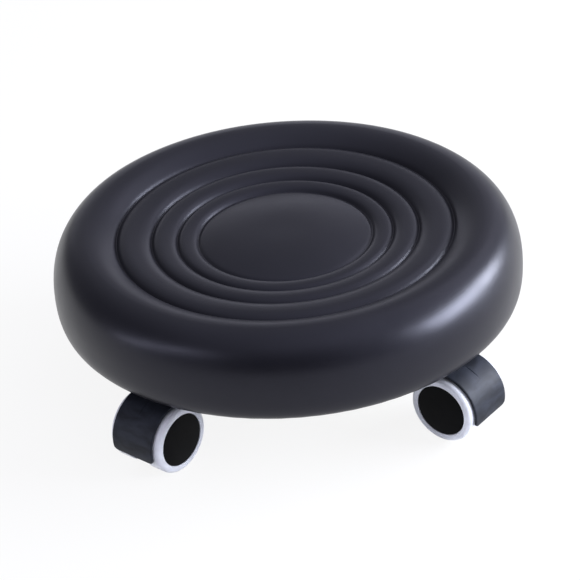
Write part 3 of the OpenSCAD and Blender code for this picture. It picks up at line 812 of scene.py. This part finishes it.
def finish_surfaces(cover, pad, roll, pieces):
    """Every piece gets the material of its slot, and so does each piece carried over from the solids."""
    looks = {
        "cover_leather": leather(),
        "hood_plastic": moulded(
            "hood_plastic", dark=(0.0074, 0.0086, 0.0127), light=(0.0185, 0.0213, 0.0305),
            rough=0.54, level=0.22, grain=1500, wear=0.12),
        "hub_plastic": moulded(
            "hub_plastic", dark=(0.016, 0.016, 0.018), light=(0.026, 0.026, 0.028),
            rough=0.45, level=0.45, grain=1100, wear=0.05),
        "cap_plastic": moulded(
            "cap_plastic", dark=(0.0006, 0.0006, 0.0010), light=(0.0014, 0.0014, 0.0019),
            rough=0.5, level=0.05, grain=1900, wear=0.08),
        "tread_elastomer": elastomer(),
        "zinc_steel": zinc(),
        "spring_steel": spring_steel(),
        "staple_wire": staple_wire(),
        "nylon": nylon(),
        "dust_cloth": dust_cloth(),
        "plywood": plywood(),
        "foam": foam(),
    }
    for obj, slot in ((cover, "cover_leather"), (pad, "foam"), (roll, "foam")):
        obj.data.materials.append(looks[slot])
        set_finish(obj, slot)
    for obj in pieces:
        obj.data.materials.append(looks[obj["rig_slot"]])
    slots = {s["node"]: s["material_slot"] for s in frame["record"]["subparts"]}
    for node, obj in frame["nodes"].items():
        obj.data.materials.clear()
        obj.data.materials.append(looks[slots[node]])


def soften_edges():
    """Small rounded edges on the carried-over rigid pieces."""
    widths = {
        "top_plate": 0.25, "hub": 0.25, "thrust_washer": 0.15,
        "retaining_ring": 0.12, "push_nuts": 0.15, "seat_board": 0.4,
    }
    for node, obj in frame["nodes"].items():
        for key, width in widths.items():
            if node.endswith(key):
                weld = obj.modifiers.new("weld", "WELD")
                weld.merge_threshold = 1e-6
                bevel = obj.modifiers.new("edges", "BEVEL")
                bevel.width, bevel.segments = width * MM, 2
                bevel.limit_method, bevel.angle_limit = "ANGLE", math.radians(40)
                bevel.harden_normals = True


# Surroundings
def make_floor():
    """A plain white floor that keeps the object's shadow and reads as the white background."""
    half, white_share = 9.0, 0.88
    corners = [(-half, -half, 0), (half, -half, 0), (half, half, 0), (-half, half, 0)]
    floor = make_object("floor", corners, [(0, 1, 2, 3)], scale=1.0)
    m = Nodes("floor")
    tree = m.tree
    diffuse = m.add("ShaderNodeBsdfDiffuse")
    diffuse.inputs["Color"].default_value = (0.9, 0.9, 0.9, 1)
    glow = m.add("ShaderNodeEmission")
    glow.inputs["Color"].default_value = (1, 1, 1, 1)
    rays = m.add("ShaderNodeLightPath")
    bounced = m.math("MAXIMUM", rays.outputs["Is Glossy Ray"], rays.outputs["Is Transmission Ray"])
    seen = m.math("MAXIMUM", rays.outputs["Is Camera Ray"], bounced)
    mix = m.add("ShaderNodeMixShader")
    m.link(m.math("MULTIPLY", seen, white_share), mix.inputs[0])
    m.link(diffuse.outputs[0], mix.inputs[1])
    m.link(glow.outputs[0], mix.inputs[2])
    tree.nodes.remove(m.shader)
    m.link(mix.outputs[0], m.out.inputs[0])
    floor.data.materials.append(m.material)


def make_world():
    """A pale studio: soft light from the top, darker low down in front and to the left."""
    world = bpy.data.worlds.new("studio")
    bpy.context.scene.world = world
    world.use_nodes = True
    tree = world.node_tree
    tree.nodes.clear()

    def level(socket, stops):
        ramp = tree.nodes.new("ShaderNodeValToRGB")
        tree.links.new(socket, ramp.inputs[0])
        elements = ramp.color_ramp.elements
        while len(elements) < len(stops):
            elements.new(0.5)
        for element, (position, value) in zip(elements, stops):
            element.position = position
            element.color = (value, value, value, 1)
        return ramp.outputs[0]

    def half(socket):
        scale = tree.nodes.new("ShaderNodeMapRange")
        scale.inputs["From Min"].default_value = -1.0
        tree.links.new(socket, scale.inputs["Value"])
        return scale.outputs[0]

    def times(a, b):
        node = tree.nodes.new("ShaderNodeVectorMath")
        node.operation = "MULTIPLY"
        tree.links.new(a, node.inputs[0])
        tree.links.new(b, node.inputs[1])
        return node.outputs[0]

    place = tree.nodes.new("ShaderNodeTexCoord")
    split = tree.nodes.new("ShaderNodeSeparateXYZ")
    tree.links.new(place.outputs["Generated"], split.inputs[0])
    x, y, z = (split.outputs[axis] for axis in "XYZ")
    height = level(z, [
        (0.0, 0.34), (0.17, 0.40), (0.5, 0.41), (0.64, 0.50), (0.77, 0.66), (0.87, 0.80), (0.97, 0.90),
    ])
    depth = level(half(y), [(0.01, 0.12), (0.06, 0.35), (0.12, 0.95), (0.2, 1.2), (0.35, 1.1), (0.6, 1.0)])
    side = level(half(x), [(0.0, 0.5), (0.2, 0.72), (0.5, 1.0), (0.68, 1.3), (1.0, 1.45)])
    tint = tree.nodes.new("ShaderNodeRGB")
    tint.outputs[0].default_value = (0.87, 0.875, 1.0, 1)
    sky = tree.nodes.new("ShaderNodeBackground")
    out = tree.nodes.new("ShaderNodeOutputWorld")
    tree.links.new(times(times(height, tint.outputs[0]), times(depth, side)), sky.inputs["Color"])
    tree.links.new(sky.outputs[0], out.inputs[0])


def lamp(name, azimuth, elevation, distance, width, height, power, colour, roll=0):
    """A soft box in this direction from the seat, facing it; angles in degrees."""
    data = bpy.data.lights.new(name, "AREA")
    data.shape, data.size, data.size_y = "RECTANGLE", width, height
    data.energy, data.color = power, colour
    obj = bpy.data.objects.new(name, data)
    a, e = math.radians(azimuth), math.radians(elevation)
    away = Vector((math.cos(a) * math.cos(e), math.sin(a) * math.cos(e), math.sin(e)))
    obj.location = Vector((0, 0, 0.1)) + away * distance
    turn = away.to_track_quat("Z", "Y") @ Quaternion((0, 0, 1), math.radians(roll))
    obj.rotation_euler = turn.to_euler()
    bpy.context.scene.collection.objects.link(obj)
    obj.visible_camera = False


def make_lights():
    cool = (0.87, 0.875, 1.0)
    lamp("key", -0.5, 17, 1.5, 1.35, 0.5, 62, (0.87, 0.91, 1.0))
    lamp("back", 86, 12, 1.8, 2.4, 0.4, 2.0, cool)
    lamp("upper_right", 32, 42, 2.0, 1.7, 0.9, 5.0, cool)
    lamp("low_left", 207, 17.5, 1.5, 1.3, 0.09, 4.2, cool, 34)


make_camera()
make_floor()
make_world()
make_lights()
cover, pad, roll = make_cushion()
for obj in (cover, pad, roll):
    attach(obj, "seat")
pieces = make_casters()
finish_surfaces(cover, pad, roll, pieces)
soften_edges()

scene = bpy.context.scene
scene.view_settings.view_transform = "Standard"
bpy.context.view_layer.update()
